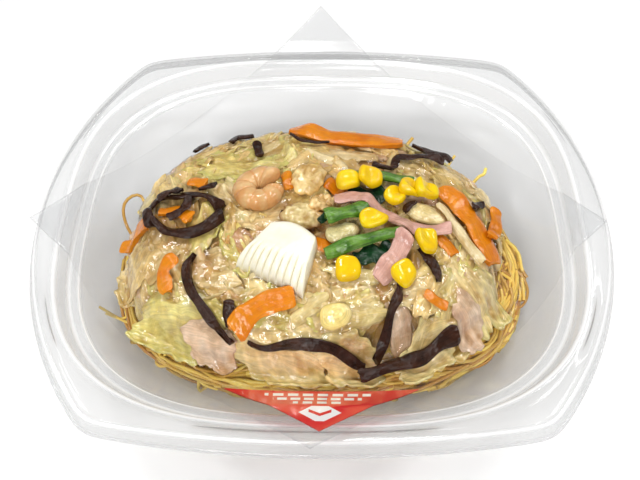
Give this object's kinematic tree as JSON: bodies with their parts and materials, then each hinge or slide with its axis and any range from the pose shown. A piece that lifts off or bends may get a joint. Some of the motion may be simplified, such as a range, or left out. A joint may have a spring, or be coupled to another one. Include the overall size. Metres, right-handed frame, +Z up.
{
  "type": "sara udon",
  "caption": "Crisp fried noodle nest in an open clear oval tray, with a cornerwise pull-out film on it and a glossy vegetable and seafood heap on top.",
  "frame": {"origin": "centre of the tray's flat base, on the surface it stands on", "axes": "+X to the eater's right along the tray's longer side, +Y away from the eater, +Z up"},
  "size_m": [0.218, 0.2048, 0.059],
  "materials": {
    "clear_tray": "clear polypropylene, slightly milky, gloss",
    "clear_film": "clear thin film with a red printed corner",
    "fried_noodle": "dry fried crust, satin",
    "sauced_vegetable": "cabbage and onion under thick glossy sauce",
    "cabbage": "wilted leaf, translucent, wet gloss",
    "pork": "cooked meat under sauce, wet gloss",
    "carrot": "cooked carrot, wet gloss",
    "wood_ear": "dark jelly-like fungus, wet gloss",
    "green_stem": "cooked greens, wet gloss",
    "green_leaf": "cooked dark leaf, wet gloss",
    "ham": "sliced ham, wet satin",
    "clam": "cooked shellfish, wet gloss",
    "shrimp": "cooked shrimp, wet gloss",
    "squid": "scored cooked squid, moist satin",
    "sweetcorn": "cooked kernel skin, gloss"
  },
  "bodies": {
    "root": {"cabbage_back_left": "cabbage", "cabbage_back_right": "cabbage", "cabbage_bud": "cabbage", "cabbage_front": "cabbage", "cabbage_left": "cabbage", "cabbage_left_front": "cabbage", "cabbage_middle": "cabbage", "cabbage_right": "cabbage", "cabbage_right_front": "cabbage", "carrot_back": "carrot", "carrot_bit": "carrot", "carrot_edge": "carrot", "carrot_front": "carrot", "carrot_left": "carrot", "carrot_loop": "carrot", "carrot_right": "carrot", "carrot_under": "carrot", "clam_back": "clam", "clam_middle": "clam", "corn_1": "sweetcorn", "corn_2": "sweetcorn", "corn_3": "sweetcorn", "corn_4": "sweetcorn", "corn_5": "sweetcorn", "corn_6": "sweetcorn", "corn_7": "sweetcorn", "corn_8": "sweetcorn", "corn_9": "sweetcorn", "film_sheet": "clear_film", "green_leaf_back": "green_leaf", "green_leaf_front": "green_leaf", "ham_arch": "ham", "ham_slip": "ham", "noodle_nest": "fried_noodle", "pork_left": "pork", "pork_right": "pork", "shrimp": "shrimp", "squid": "squid", "stem_back": "green_stem", "stem_front": "green_stem", "stem_middle": "green_stem", "tray": "clear_tray", "vegetable_heap": "sauced_vegetable", "wood_ear_back": "wood_ear", "wood_ear_back_left": "wood_ear", "wood_ear_back_slip": "wood_ear", "wood_ear_front": "wood_ear", "wood_ear_left": "wood_ear", "wood_ear_loop_back": "wood_ear", "wood_ear_loop_front": "wood_ear", "wood_ear_middle": "wood_ear", "wood_ear_right": "wood_ear", "wood_ear_small": "wood_ear", "wood_ear_tip": "wood_ear", "wood_ear_zigzag": "wood_ear"}
  },
  "joints": []
}
